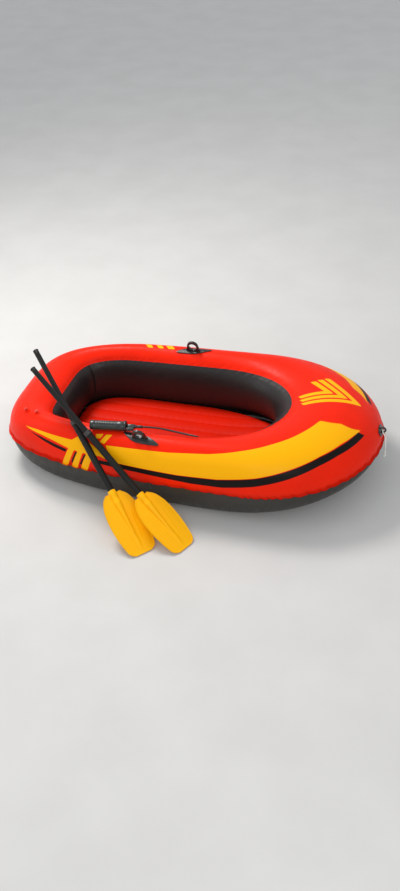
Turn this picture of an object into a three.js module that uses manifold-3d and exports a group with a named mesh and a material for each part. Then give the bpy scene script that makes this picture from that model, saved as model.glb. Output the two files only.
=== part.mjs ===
// A two-person inflatable boat with its two oars and its hand pump, as an assembly of separate pieces.
// Millimetres. +X points to the bow, +Y to port and +Z up. The origin is on the ground, under the flat
// bottom, at half the length.
// The film skins are really about 0.3 mm thick: here they are thin shells that stand in for them.
import * as THREE from "three";
import { mergeVertices } from "three/addons/utils/BufferGeometryUtils.js";
import Module from "manifold-3d";

// ---------------------------------------------------------------- Driving dimensions

// Hull in plan. An oval is two half superellipses, one towards the bow and one towards the stern,
// and "round" holds the lengthwise and crosswise exponents of each: 2 is an ellipse, more is squarer.
const LENGTH = 1850;
const BEAM = 980;
const OUTER = oval(390, BEAM / 2, LENGTH / 2 - 390, [2.09, 1.91], LENGTH / 2 + 390, [2.74, 3.67]);
const INNER = oval(-116, 268, 525, [2.74, 1.91], 514, [4.27, 6.7]);

// Hull in height: the tube's top and bottom amidships, and how far they move at the ends.
const TUBE_HEIGHT = 361;
const BOW_RISE = { from: -285, top: 68 };
const BOW_LIFT = { from: 60, bottom: 96, power: 1.5 };
const STERN_DROP = { from: -300, top: 49 };

// Where the skins meet, as angles round the tube's section: 0 is outboard, 90 the top, 180 inboard.
const SKIN = 2.2;
const SEAM_ANGLE = -2;
const WALL_TOP_ANGLE = 135;
const WALL_FOOT_ANGLE = 222;
const SEAM_GAP_ANGLE = 0.07;
const SEAM_LIP = 7;
const SKIN_SEGMENTS = 8;
const WALL_SEGMENTS = 5;
const STATIONS = 48;

// Inflatable floor and bottom sheet.
const FLOOR_EDGE_ANGLE = 212;
const FLOOR_HEIGHT = 74;
const FLOOR_RIDGES = 8;
const FLOOR_RIDGE_HEIGHT = 8;
const FLOOR_END_FALL = 22;
const FLOOR_BOW_RISE = { from: 60, to: 448, height: 60 };
const EDGE_CLEARANCE = 1.5;
const BOTTOM_EDGE_ANGLE = 251;

// Sheet inside the tube, in shares of the section: how high it reaches and how far it bows.
const BAFFLE = { segments: 4, reachShare: 0.93, bow: 0.35, offset: -0.1 };

// Fittings on the hull: x is the place along the boat, angle the place round the section, side -1 starboard.
const OARLOCKS = [
  { name: "oarlock_starboard", x: -128, angle: 78, side: -1 },
  { name: "oarlock_port", x: -100, angle: 99, side: 1 },
];
const OARLOCK_PAD = { halfLength: 66, halfWidth: 47, thick: 4 };
const OARLOCK_RING = { height: 66, thick: 12, hole: 20, foot: 40, crown: 29 };
const HULL_VALVES = [
  { name: "main_chamber", x: -759, angle: 72, side: -1 },
  { name: "inner_chamber", x: -693, angle: 84, side: -1 },
];
const FLOOR_VALVE = { name: "floor", x: -480, y: -145 };
const VALVE = { flange: 15, stem: 7, bore: 3.5, height: 7, cap: 8.2, hinge: 10.5 };
const BOW_EYE = { angle: 18, base: 27, ring: 13, wire: 4.5, stand: 11 };

// Bow rope: a loop of two strands through the eye, tied in a knot. The points are its centreline.
const ROPE_DIAMETER = 5;
const ROPE_TOP = [
  [935, -10.8, 259], [932, -10.8, 267.5], [928.4, -10.5, 274.3], [925.2, -9.1, 278.8],
  [922.9, -5.2, 281.9], [922, 0, 283], [922.9, 5.2, 281.9], [925.2, 9.1, 278.8],
  [928.4, 10.5, 274.3], [932, 10.8, 267.5], [935, 10.8, 259], [937.7, 10.8, 246],
  [939.5, 10.6, 230], [940.5, 10, 208], [940.5, 8.6, 186], [940, 6, 168], [939.5, 4.2, 158],
];
const ROPE_RETURN = [
  [935.1, -10.8, 258.6], [937.7, -10.8, 246], [939.5, -10.8, 229], [940.5, -10.6, 206],
  [940.5, -9.4, 186], [940, -6.6, 168], [939.5, -4.4, 158],
];
const KNOT_CENTRE = [939.5, 0, 142];
const KNOT_RADIUS = 9;

// Oars: both are alike. The tip and the handle's direction place them: the port-most handle's oar lies
// across the tube, and the other oar lies across that one.
const OAR_LENGTH = 1105;
const LOWER_OAR = { tip: [-14.2, -759.9, 3], handle: [-714.4, -160.2, 608.5] };
const UPPER_OAR = { tip: [156.6, -686.7, 3], handle: [-685.2, -270.1, 581.5] };
const BLADE = { thick: 4, rib: 15 };
const BLADE_HALF_WIDTHS = [
  [0, 46], [8, 60], [30, 70], [80, 80], [135, 86], [190, 86], [240, 80], [280, 66], [302, 50], [312, 34],
];
const SOCKET = { from: 235, to: 324, radius: 18.6 };
const LOWER_SHAFT = { from: 262, to: 700, radius: 15.6, wall: 1.7 };
const UPPER_SHAFT = { from: 636, to: 1098, radius: 12.6, wall: 1.6 };
const JOINT_COLLAR = { from: 682, to: 703, radius: 18.4 };
const END_CAP = { depth: 22, overhang: 1.2 };

// Hand pump, lying on the near tube. Its pieces are placed along its axis from the barrel's closed end.
const PUMP = { from: [-370, -382.8, 387], to: [-110, -344.8, 387] };
const BARREL = { from: 0, to: 155, radius: 22.5, wall: 2 };
const COLLAR = { from: 155.4, to: 166, radius: 24.7 };
const ROD = { from: 14, to: 180, radius: 8, wall: 1.6 };
const PISTON = { from: 8, to: 13.7, radius: 19.8 };
const HEAD = { from: 167.5, to: 206, radius: 11, stubTo: 240, stubRadius: 7, foot: 24, footWidth: 12 };
const HOSE_DIAMETER = 9;
const HOSE_ROUTE = [
  [-132, -348, 387], [-122, -346.6, 387], [-110, -344.6, 386.8], [-97, -342.2, 386.2],
  [-84, -339.8, 385.2], [-70, -337.4, 383.8], [-54, -335.2, 382], [-36, -333.6, 379.8],
  [-18, -332.8, 377.6], [2, -333, 375.6], [24, -334.2, 374.2], [46, -336.4, 373.4],
  [68, -339.2, 373.4], [90, -342.6, 374], [112, -346.2, 375.2],
];
const NOZZLE = { length: 26, rootRadius: 4.4, tipRadius: 2.2 };

// The small gap that keeps two touching pieces apart.
const FIT_GAP = 0.3;
const ROUND_SIDES = 16;

// ---------------------------------------------------------------- Joining and cutting

const wasm = await Module();
wasm.setup();

function toSolid(geometry) {
  const bare = geometry.clone();
  bare.deleteAttribute("normal");
  bare.deleteAttribute("uv");
  const merged = mergeVertices(bare, 1e-3);
  return new wasm.Manifold(
    new wasm.Mesh({
      numProp: 3,
      vertProperties: new Float32Array(merged.attributes.position.array),
      triVerts: new Uint32Array(merged.index.array),
    }),
  );
}

function toGeometry(solid) {
  const { numProp, vertProperties, triVerts, numVert } = solid.getMesh();
  const positions = new Float32Array(numVert * 3);
  for (let i = 0; i < numVert; i++) {
    positions.set(vertProperties.subarray(i * numProp, i * numProp + 3), i * 3);
  }
  const geometry = new THREE.BufferGeometry();
  geometry.setAttribute("position", new THREE.BufferAttribute(positions, 3));
  geometry.setIndex(new THREE.BufferAttribute(triVerts, 1));
  geometry.computeVertexNormals();
  return geometry;
}

function joined(geometries) {
  return toGeometry(geometries.map(toSolid).reduce((whole, piece) => whole.add(piece)));
}

function cut(geometry, tools) {
  return toGeometry(tools.map(toSolid).reduce((whole, tool) => whole.subtract(tool), toSolid(geometry)));
}

// A closed mesh from points and triangles, turned so that its faces point out.
function closedMesh(points, triangles) {
  let sixVolumes = 0;
  for (const [a, b, c] of triangles) {
    const [p, q, r] = [points[a], points[b], points[c]];
    sixVolumes +=
      p[0] * (q[1] * r[2] - q[2] * r[1]) +
      p[1] * (q[2] * r[0] - q[0] * r[2]) +
      p[2] * (q[0] * r[1] - q[1] * r[0]);
  }
  const facing = sixVolumes < 0 ? triangles.map(([a, b, c]) => [a, c, b]) : triangles;
  const geometry = new THREE.BufferGeometry();
  geometry.setAttribute("position", new THREE.Float32BufferAttribute(points.flat(), 3));
  geometry.setIndex(facing.flat());
  geometry.computeVertexNormals();
  return geometry;
}

// ---------------------------------------------------------------- Round pieces

// A body turned round Z from [radius, z] points.
function turned(profile) {
  const points = profile.map(([radius, z]) => new THREE.Vector2(radius, z));
  return new THREE.LatheGeometry(points, ROUND_SIDES).rotateX(Math.PI / 2);
}

function tube({ from, to, radius, wall }) {
  return turned([[radius, from], [radius, to], [radius - wall, to], [radius - wall, from], [radius, from]]);
}

// ---------------------------------------------------------------- The hull's surface

function oval(middle, halfWidth, bowReach, bowRound, sternReach, sternRound) {
  const bow = { reach: bowReach, round: bowRound };
  const stern = { reach: sternReach, round: sternRound };
  return { middle, halfWidth, bow, stern };
}

function signedPower(value, power) {
  return Math.sign(value) * Math.abs(value) ** power;
}

function ovalPoint(shape, turn) {
  const along = Math.cos(turn);
  const end = along >= 0 ? shape.bow : shape.stern;
  const x = shape.middle + end.reach * signedPower(along, 2 / end.round[0]);
  const y = shape.halfWidth * signedPower(Math.sin(turn), 2 / end.round[1]);
  return [x, y];
}

function share(value, from, to) {
  return THREE.MathUtils.clamp((value - from) / (to - from), 0, 1);
}

function tubeTop(x) {
  const rise = BOW_RISE.top * share(x, BOW_RISE.from, LENGTH / 2) ** 2;
  const drop = STERN_DROP.top * share(x, STERN_DROP.from, -LENGTH / 2) ** 2;
  return TUBE_HEIGHT + rise - drop;
}

function tubeBottom(x) {
  return BOW_LIFT.bottom * share(x, BOW_LIFT.from, LENGTH / 2) ** BOW_LIFT.power;
}

// The tube's elliptical section at one turn round the boat.
function section(turn) {
  const [outerX, outerY] = ovalPoint(OUTER, turn);
  const [innerX, innerY] = ovalPoint(INNER, turn);
  const x = (outerX + innerX) / 2;
  const top = tubeTop(x);
  const bottom = tubeBottom(x);
  return {
    x,
    y: (outerY + innerY) / 2,
    z: (top + bottom) / 2,
    reachX: (outerX - innerX) / 2,
    reachY: (outerY - innerY) / 2,
    reachZ: (top - bottom) / 2,
  };
}

// A point of the hull's surface, or of a surface that lies "inset" under it.
function hullPoint(turn, degrees, inset = 0) {
  const s = section(turn);
  const angle = THREE.MathUtils.degToRad(degrees);
  const reach = Math.hypot(s.reachX, s.reachY);
  const across = (1 - inset / reach) * Math.cos(angle);
  return [s.x + s.reachX * across, s.y + s.reachY * across, s.z + (s.reachZ - inset) * Math.sin(angle)];
}

// Turns round the boat that lie evenly along the tube's middle line. Each quarter is sampled closely
// at its ends, where a squarish oval's point moves fastest.
function evenTurns(count) {
  const samples = [];
  const perQuarter = 400;
  for (let i = 0; i <= 4 * perQuarter; i++) {
    const quarter = Math.floor(i / perQuarter);
    const u = (i % perQuarter) / perQuarter;
    const eased = u ** 4 / (u ** 4 + (1 - u) ** 4);
    samples.push((quarter + eased) * (Math.PI / 2));
  }
  const lengths = [0];
  for (let i = 1; i < samples.length; i++) {
    const a = section(samples[i - 1]);
    const b = section(samples[i]);
    lengths.push(lengths[i - 1] + Math.hypot(b.x - a.x, b.y - a.y));
  }
  const turns = [];
  for (let k = 0, j = 0; k < count; k++) {
    const target = (lengths.at(-1) * k) / count;
    while (lengths[j + 1] < target) j++;
    const part = (target - lengths[j]) / (lengths[j + 1] - lengths[j]);
    turns.push(samples[j] + (samples[j + 1] - samples[j]) * part);
  }
  return turns;
}

// The turn at which the hull's surface has this x, on one side: 1 is port and -1 starboard.
function turnAt(x, degrees, side) {
  let low = 0.02;
  let high = Math.PI - 0.02;
  for (let i = 0; i < 50; i++) {
    const middle = (low + high) / 2;
    if (hullPoint(middle, degrees)[0] > x) low = middle;
    else high = middle;
  }
  return side * low;
}

// The surface's axes at a point: Z out of the surface, X along the boat towards the bow.
function hullAxes(turn, degrees) {
  const at = new THREE.Vector3(...hullPoint(turn, degrees));
  const alongStep = new THREE.Vector3(...hullPoint(turn + 1e-4, degrees)).sub(at);
  const roundStep = new THREE.Vector3(...hullPoint(turn, degrees + 0.01)).sub(at);
  const out = alongStep.clone().cross(roundStep).normalize();
  const s = section(turn);
  if (out.dot(at.clone().sub(new THREE.Vector3(s.x, s.y, s.z))) < 0) out.negate();
  const forward = Math.abs(turn) < 1e-6 ? new THREE.Vector3(0, -1, 0) : new THREE.Vector3(1, 0, 0);
  const along = forward.addScaledVector(out, -forward.dot(out)).normalize();
  const across = out.clone().cross(along);
  return {
    matrix: new THREE.Matrix4().makeBasis(along, across, out).setPosition(at),
    perMm: { turn: 1e-4 / alongStep.length(), degrees: 0.01 / roundStep.length() },
  };
}

// ---------------------------------------------------------------- Hull pieces

// A closed ring round the boat: loopAt gives the same number of section points at every turn.
function sweptRing(loopAt) {
  const loops = evenTurns(STATIONS).map(loopAt);
  const sides = loops[0].length;
  const triangles = [];
  for (let i = 0; i < STATIONS; i++) {
    for (let k = 0; k < sides; k++) {
      const here = i * sides;
      const next = ((i + 1) % STATIONS) * sides;
      const after = (k + 1) % sides;
      triangles.push([here + k, next + k, next + after], [here + k, next + after, here + after]);
    }
  }
  return closedMesh(loops.flat(), triangles);
}

// A skin of the hull, from its section outline of [angle, inset] points.
function ringFrom(outline) {
  return sweptRing((turn) => outline.map(([degrees, inset]) => hullPoint(turn, degrees, inset)));
}

// The outline of a skin between two angles round the section, with a lip along its last edge if asked.
function skinOutline(from, to, segments, lip = 0) {
  const first = from + SEAM_GAP_ANGLE;
  const last = to - SEAM_GAP_ANGLE;
  const outside = [];
  for (let i = 0; i <= segments; i++) outside.push([first + ((last - first) * i) / segments, 0]);
  const inside = outside.map(([degrees]) => [degrees, SKIN]).reverse();
  const lipPoints = lip ? [[last, -lip], [last - 0.9, -lip], [last - 0.9, 0]] : [];
  const body = lip ? outside.slice(0, -1) : outside;
  return [...body, ...lipPoints.reverse(), ...inside];
}

function hullTopSkin() {
  return ringFrom(skinOutline(SEAM_ANGLE, WALL_TOP_ANGLE, SKIN_SEGMENTS));
}

function hullBottomSkin() {
  return ringFrom(skinOutline(WALL_FOOT_ANGLE - 360, SEAM_ANGLE, SKIN_SEGMENTS, SEAM_LIP));
}

function cockpitWallSkin() {
  return ringFrom(skinOutline(WALL_TOP_ANGLE, WALL_FOOT_ANGLE, WALL_SEGMENTS));
}

// The sheet inside the tube that parts the main chamber from the inner safety chamber.
// It bows outboard between the top of the tube and its bottom.
function chamberBaffle() {
  const { segments, reachShare, bow, offset } = BAFFLE;
  return sweptRing((turn) => {
    const s = section(turn);
    const thickness = SKIN / Math.hypot(s.reachX, s.reachY);
    const face = (shift) =>
      Array.from({ length: segments + 1 }, (_, i) => {
        const height = 1 - (2 * i) / segments;
        const out = bow * (1 - height ** 2) + offset + shift;
        return [s.x + s.reachX * out, s.y + s.reachY * out, s.z + s.reachZ * reachShare * height];
      });
    return [...face(0), ...face(thickness).reverse()];
  });
}

// A sheet that fills the outline at one angle of the tube. Its columns run along the boat.
function panel(edgeAngle, columns, rows, heightAt) {
  const edge = evenTurns(400).map((turn) => hullPoint(turn, edgeAngle, -EDGE_CLEARANCE));
  const halfWidth = 0.985 * Math.max(...edge.map((p) => p[1]));
  const reachesAt = (y) => {
    const crossings = [];
    edge.forEach((a, i) => {
      const b = edge[(i + 1) % edge.length];
      if (a[1] < y !== b[1] < y) crossings.push(a[0] + ((b[0] - a[0]) * (y - a[1])) / (b[1] - a[1]));
    });
    return [Math.min(...crossings), Math.max(...crossings)];
  };
  const points = [];
  for (const lift of [0, -SKIN]) {
    for (let c = 0; c <= columns; c++) {
      const y = halfWidth * ((2 * c) / columns - 1);
      const [stern, bow] = reachesAt(y);
      for (let r = 0; r <= rows; r++) {
        const x = stern + ((bow - stern) * r) / rows;
        points.push([x, y, heightAt(x, y, stern, bow) + lift]);
      }
    }
  }
  const under = (columns + 1) * (rows + 1);
  const index = (c, r) => c * (rows + 1) + r;
  const triangles = [];
  for (let c = 0; c < columns; c++) {
    for (let r = 0; r < rows; r++) {
      const [a, b, d, e] = [index(c, r), index(c + 1, r), index(c + 1, r + 1), index(c, r + 1)];
      triangles.push([a, b, d], [a, d, e]);
      triangles.push([a + under, d + under, b + under], [a + under, e + under, d + under]);
    }
  }
  const rim = [];
  for (let c = 0; c < columns; c++) rim.push(index(c, 0));
  for (let r = 0; r < rows; r++) rim.push(index(columns, r));
  for (let c = columns; c > 0; c--) rim.push(index(c, rows));
  for (let r = rows; r > 0; r--) rim.push(index(0, r));
  rim.forEach((a, i) => {
    const b = rim[(i + 1) % rim.length];
    triangles.push([b, a, a + under], [b, a + under, b + under]);
  });
  return closedMesh(points, triangles);
}

function floorRibbedSheet() {
  const widest = Math.max(...evenTurns(200).map((turn) => hullPoint(turn, FLOOR_EDGE_ANGLE)[1]));
  const pitch = (2 * widest) / FLOOR_RIDGES;
  return panel(FLOOR_EDGE_ANGLE, 4 * FLOOR_RIDGES, 10, (x, y, stern, bow) => {
    const ridge = FLOOR_RIDGE_HEIGHT * Math.abs(Math.cos((Math.PI * y) / pitch - Math.PI / 2));
    const fromEnd = share(Math.min(x - stern, bow - x), 0, 70);
    const rise = FLOOR_BOW_RISE.height * share(x, FLOOR_BOW_RISE.from, FLOOR_BOW_RISE.to) ** 2;
    return FLOOR_HEIGHT + ridge + rise - FLOOR_END_FALL * (1 - fromEnd) ** 2;
  });
}

function bottomSheet() {
  return panel(BOTTOM_EDGE_ANGLE, 8, 12, (x) => SKIN + tubeBottom(x));
}

// ---------------------------------------------------------------- Fittings on the hull

// A thin pad that follows the hull's curve round a point, with a squarish oval outline.
function hullPad(turn, degrees, halfLength, halfWidth, lift, thick, squareness = 4) {
  const { perMm } = hullAxes(turn, degrees);
  const rings = 2;
  const spokes = 20;
  const middleX = hullPoint(turn, degrees)[0];
  const side = Math.sign(turn);
  const turnFor = (along) => (side ? turnAt(middleX + along, degrees, side) : along * perMm.turn);
  const pointAt = (ring, spoke, inset) => {
    const angle = (2 * Math.PI * spoke) / spokes;
    const along = (halfLength * ring * signedPower(Math.cos(angle), 2 / squareness)) / rings;
    const round = (halfWidth * ring * signedPower(Math.sin(angle), 2 / squareness)) / rings;
    return hullPoint(turnFor(along), degrees + round * perMm.degrees, inset);
  };
  const points = [];
  for (const inset of [-lift - thick, -lift]) {
    points.push(pointAt(0, 0, inset));
    for (let ring = 1; ring <= rings; ring++) {
      for (let spoke = 0; spoke < spokes; spoke++) points.push(pointAt(ring, spoke, inset));
    }
  }
  const under = 1 + rings * spokes;
  const triangles = [];
  for (const base of [0, under]) {
    const face = (a, b, c) => triangles.push(base ? [base + a, base + c, base + b] : [a, b, c]);
    for (let spoke = 0; spoke < spokes; spoke++) {
      const next = (spoke + 1) % spokes;
      face(0, 1 + spoke, 1 + next);
      for (let ring = 1; ring < rings; ring++) {
        const [a, b] = [1 + (ring - 1) * spokes, 1 + ring * spokes];
        face(a + spoke, b + spoke, b + next);
        face(a + spoke, b + next, a + next);
      }
    }
  }
  const rim = 1 + (rings - 1) * spokes;
  for (let spoke = 0; spoke < spokes; spoke++) {
    const [a, b] = [rim + spoke, rim + ((spoke + 1) % spokes)];
    triangles.push([b, a, a + under], [b, a + under, b + under]);
  }
  return closedMesh(points, triangles);
}

// The rounded-triangle eye that an oar's shaft passes through, standing on its pad's middle.
function oarlockRing() {
  const { height, thick, hole, foot, crown } = OARLOCK_RING;
  const outline = new THREE.Shape();
  outline.moveTo(-foot, 1);
  outline.lineTo(foot, 1);
  outline.quadraticCurveTo(crown + 6, 10, crown + 2, height - crown - 6);
  outline.absarc(0, height - crown, crown, 0, Math.PI, false);
  outline.quadraticCurveTo(-crown - 6, 10, -foot, 1);
  const opening = new THREE.Path();
  opening.absarc(0, height - crown - 4, hole, 0, 2 * Math.PI, true);
  outline.holes.push(opening);
  const extrusion = { depth: thick, bevelEnabled: false, curveSegments: 8 };
  return new THREE.ExtrudeGeometry(outline, extrusion).translate(0, 0, -thick / 2).rotateX(Math.PI / 2);
}

function oarlock({ x, angle, side }) {
  const turn = turnAt(x, angle, side);
  const pad = hullPad(turn, angle, OARLOCK_PAD.halfLength, OARLOCK_PAD.halfWidth, 1.2, OARLOCK_PAD.thick);
  const ring = oarlockRing().applyMatrix4(hullAxes(turn, angle).matrix);
  return joined([pad, ring]);
}

function bowEye() {
  const pad = hullPad(0, BOW_EYE.angle, BOW_EYE.base, BOW_EYE.base * 0.8, 1, 3, 2.4);
  const eye = new THREE.TorusGeometry(BOW_EYE.ring, BOW_EYE.wire, 8, 16);
  eye.rotateY(Math.PI / 2);
  eye.translate(0, 0, BOW_EYE.stand);
  eye.applyMatrix4(hullAxes(0, BOW_EYE.angle).matrix);
  return cut(joined([pad, eye]), [hullPad(0, BOW_EYE.angle, 60, 60, -30, 30.9, 2)]);
}

// ---------------------------------------------------------------- Valves

function valveStem() {
  const { stem, bore, height, hinge } = VALVE;
  const body = turned([
    [0, 0], [stem + 2, 0], [stem, 2], [stem, height], [bore, height], [bore, 2.5], [0, 2.5],
  ]);
  const lug = new THREE.BoxGeometry(hinge - stem + 3, 4, 2).translate((hinge + stem - 1) / 2, 0, height - 2);
  return joined([body, lug]);
}

// The plug cap, shut, with the hinge strap that it swings on.
function valveCap() {
  const { cap, bore, height, hinge } = VALVE;
  const plug = bore - 1.2;
  const lid = turned([
    [0, -3], [plug, -3], [plug, FIT_GAP], [cap, FIT_GAP], [cap, 2.2], [cap - 1.2, 3.2], [0, 3.2],
  ]);
  const strap = new THREE.BoxGeometry(hinge - cap + 4, 4, 1.4);
  strap.translate((hinge + cap - 2.6) / 2, 0, FIT_GAP + 0.9);
  return joined([lid, strap]).translate(0, 0, height);
}

// A valve's stem and cap moved from the valve's own frame to the hull, with the pad that welds it down.
function hullValve(valve) {
  const turn = turnAt(valve.x, valve.angle, valve.side);
  const place = hullAxes(turn, valve.angle).matrix;
  const seat = place.clone().multiply(new THREE.Matrix4().makeTranslation(0, 0, 1.4));
  const pad = hullPad(turn, valve.angle, VALVE.flange, VALVE.flange, 0.8, 1.6, 2);
  return {
    body: joined([pad, valveStem().applyMatrix4(seat)]),
    cap: valveCap().applyMatrix4(seat),
  };
}

function floorValve() {
  const flange = new THREE.CylinderGeometry(VALVE.flange, VALVE.flange, 2, ROUND_SIDES).rotateX(Math.PI / 2);
  const stand = FLOOR_HEIGHT + FLOOR_RIDGE_HEIGHT + 1.5;
  const seat = new THREE.Matrix4().makeTranslation(FLOOR_VALVE.x, FLOOR_VALVE.y, stand);
  return {
    body: joined([flange, valveStem()]).applyMatrix4(seat),
    cap: valveCap().applyMatrix4(seat),
  };
}

// ---------------------------------------------------------------- Cords

// A closed tube along a smooth curve through points.
function cordTube(route, diameter, sides, steps) {
  const centreline = route.map((p) => new THREE.Vector3(...p));
  const curve = new THREE.CatmullRomCurve3(centreline, false, "centripetal");
  const round = new THREE.Shape();
  for (let i = 0; i < sides; i++) {
    const angle = (2 * Math.PI * i) / sides;
    const [x, y] = [(diameter / 2) * Math.cos(angle), (diameter / 2) * Math.sin(angle)];
    if (i === 0) round.moveTo(x, y);
    else round.lineTo(x, y);
  }
  round.closePath();
  return new THREE.ExtrudeGeometry(round, { steps, bevelEnabled: false, extrudePath: curve });
}

function ropeKnot() {
  const [x, y, z] = KNOT_CENTRE;
  const turns = new THREE.TorusGeometry(KNOT_RADIUS * 0.55, KNOT_RADIUS * 0.5, 6, 10);
  const wrap = turns.clone().rotateX(Math.PI / 2);
  const core = new THREE.SphereGeometry(KNOT_RADIUS * 0.72, 10, 6);
  const tailRoute = [[0, 1, -4], [0, 4, -12], [0, 9, -20], [0, 15, -22], [0, 19, -17]];
  const tail = cordTube(tailRoute, ROPE_DIAMETER, 8, 6);
  const shortTail = cordTube([[0, 2, 0], [1, 10, 0], [2, 17, 4], [3, 22, 10]], ROPE_DIAMETER, 8, 4);
  return joined([turns.rotateY(0.6), wrap, core, tail, shortTail]).translate(x, y, z);
}

// ---------------------------------------------------------------- Oars

function bladePlate() {
  const outline = new THREE.Shape();
  const left = BLADE_HALF_WIDTHS.map(([along, half]) => new THREE.Vector2(-half, along));
  const right = BLADE_HALF_WIDTHS.map(([along, half]) => new THREE.Vector2(half, along)).reverse();
  outline.moveTo(left[0].x, left[0].y);
  outline.splineThru(left.slice(1));
  outline.lineTo(right[0].x, right[0].y);
  outline.splineThru(right.slice(1));
  const extrusion = { depth: BLADE.thick, bevelEnabled: false, curveSegments: 3 };
  return new THREE.ExtrudeGeometry(outline, extrusion).translate(0, 0, -BLADE.thick / 2).rotateX(Math.PI / 2);
}

// The blade: a plate with a raised middle rib that widens into the socket for the shaft.
function oarBlade() {
  const { rib } = BLADE;
  const ribBody = turned([
    [0, 40], [5, 60], [rib, SOCKET.from], [SOCKET.radius, SOCKET.from + 25], [SOCKET.radius, SOCKET.to],
    [0, SOCKET.to],
  ]);
  const room = LOWER_SHAFT.radius + FIT_GAP;
  const socketHole = new THREE.CylinderGeometry(room, room, SOCKET.to - LOWER_SHAFT.from + 2, ROUND_SIDES);
  socketHole.rotateX(Math.PI / 2).translate(0, 0, (SOCKET.to + LOWER_SHAFT.from) / 2);
  return cut(joined([bladePlate(), ribBody]), [socketHole]);
}

function oarEndCap() {
  const { radius, to, wall } = UPPER_SHAFT;
  const inside = radius - wall - FIT_GAP;
  const outside = radius + END_CAP.overhang;
  return turned([
    [0, to - END_CAP.depth], [inside, to - END_CAP.depth], [inside, to + FIT_GAP], [outside, to + FIT_GAP],
    [outside, OAR_LENGTH - 2], [9, OAR_LENGTH], [0, OAR_LENGTH],
  ]);
}

function oarPieces(name) {
  const collarWall = JOINT_COLLAR.radius - LOWER_SHAFT.radius - FIT_GAP;
  return [
    mesh(`${name}_blade`, oarBlade(), PAINT.blade),
    mesh(`${name}_lower_shaft`, tube(LOWER_SHAFT), PAINT.shaft),
    mesh(`${name}_joint_collar`, tube({ ...JOINT_COLLAR, wall: collarWall }), PAINT.fitting),
    mesh(`${name}_upper_shaft`, tube(UPPER_SHAFT), PAINT.shaft),
    mesh(`${name}_end_cap`, oarEndCap(), PAINT.fitting),
  ];
}

// An oar's own frame: Z from the blade's tip to the handle, X across the blade and level with the ground.
function oar(name, { tip, handle }) {
  const group = new THREE.Group();
  const from = new THREE.Vector3(...tip);
  const along = new THREE.Vector3(...handle).sub(from).normalize();
  const across = along.clone().cross(new THREE.Vector3(0, 0, 1)).normalize();
  const face = along.clone().cross(across);
  group.matrixAutoUpdate = false;
  group.matrix.makeBasis(across, face, along).setPosition(from);
  group.add(...oarPieces(name));
  return group;
}

// ---------------------------------------------------------------- Pump

function pumpEndCap() {
  const { radius, wall } = BARREL;
  const inside = radius - wall - FIT_GAP;
  return turned([
    [0, -4], [radius - 2, -4], [radius, -2], [radius, -FIT_GAP], [inside, -FIT_GAP], [inside, 5], [0, 5],
  ]);
}

function pumpCollar() {
  const { from, to, radius } = COLLAR;
  const bore = ROD.radius + 0.5;
  const inside = BARREL.radius - BARREL.wall - FIT_GAP;
  return turned([
    [bore, from - 8], [inside, from - 8], [inside, from], [radius, from], [radius, to], [bore, to],
    [bore, from - 8],
  ]);
}

function pumpPiston() {
  const { from, to, radius } = PISTON;
  return turned([[0, from], [radius, from], [radius, to], [0, to]]);
}

// The foot and hose outlet at the rod's end: a T-shaped moulding with a blind socket for the rod.
function pumpHead() {
  const { from, to, radius, stubTo, stubRadius, foot, footWidth } = HEAD;
  const body = turned([
    [0, from], [radius, from], [radius, to], [stubRadius, to + 3], [stubRadius, stubTo], [0, stubTo],
  ]);
  const leg = new THREE.BoxGeometry(foot, footWidth, to - from - 6);
  leg.translate(-foot / 2 - 2, 0, (from + to) / 2);
  const rodRoom = ROD.radius + FIT_GAP;
  const socket = new THREE.CylinderGeometry(rodRoom, rodRoom, 2 * (ROD.to - from + FIT_GAP), ROUND_SIDES);
  socket.rotateX(Math.PI / 2).translate(0, 0, from);
  return cut(joined([body, leg]), [socket]);
}

function hoseNozzle() {
  const [end, before] = [HOSE_ROUTE.at(-1), HOSE_ROUTE.at(-2)].map((p) => new THREE.Vector3(...p));
  const along = end.clone().sub(before).normalize();
  const { length, rootRadius, tipRadius } = NOZZLE;
  const cone = turned([
    [0, FIT_GAP], [rootRadius, FIT_GAP], [rootRadius, 6], [tipRadius, length], [0, length],
  ]);
  const turn = new THREE.Quaternion().setFromUnitVectors(new THREE.Vector3(0, 0, 1), along);
  return cone.applyMatrix4(new THREE.Matrix4().compose(end, turn, new THREE.Vector3(1, 1, 1)));
}

// The pump's own frame: Z along its axis from the closed end to the hose, X level and inboard.
function pump() {
  const group = new THREE.Group();
  const from = new THREE.Vector3(...PUMP.from);
  const along = new THREE.Vector3(...PUMP.to).sub(from).normalize();
  const across = new THREE.Vector3(0, 0, 1).cross(along).normalize();
  group.matrixAutoUpdate = false;
  group.matrix.makeBasis(across, along.clone().cross(across), along).setPosition(from);
  group.add(
    mesh("pump_end_cap", pumpEndCap(), PAINT.pump),
    mesh("pump_barrel", tube(BARREL), PAINT.pump),
    mesh("pump_collar", pumpCollar(), PAINT.fitting),
    mesh("pump_rod", tube(ROD), PAINT.pump),
    mesh("pump_piston", pumpPiston(), PAINT.fitting),
    mesh("pump_head", pumpHead(), PAINT.pump),
  );
  return group;
}

// ---------------------------------------------------------------- Assembly

function paint(color, roughness) {
  return () => new THREE.MeshStandardMaterial({ color, roughness, metalness: 0 });
}

const PAINT = {
  hull: paint(0xf22503, 0.35),
  bottom: paint(0x3a3a3a, 0.5),
  wall: paint(0x282523, 0.4),
  floor: paint(0xe02102, 0.4),
  blade: paint(0xffb803, 0.35),
  shaft: paint(0x161514, 0.4),
  fitting: paint(0x0f0e0e, 0.4),
  pump: paint(0x1d2320, 0.35),
  cap: paint(0x2a2a2c, 0.5),
  hose: paint(0x2a1a18, 0.4),
  rope: paint(0xe8e4da, 0.8),
};

function mesh(name, geometry, makeMaterial) {
  const piece = new THREE.Mesh(geometry, makeMaterial());
  piece.name = name;
  return piece;
}

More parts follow.
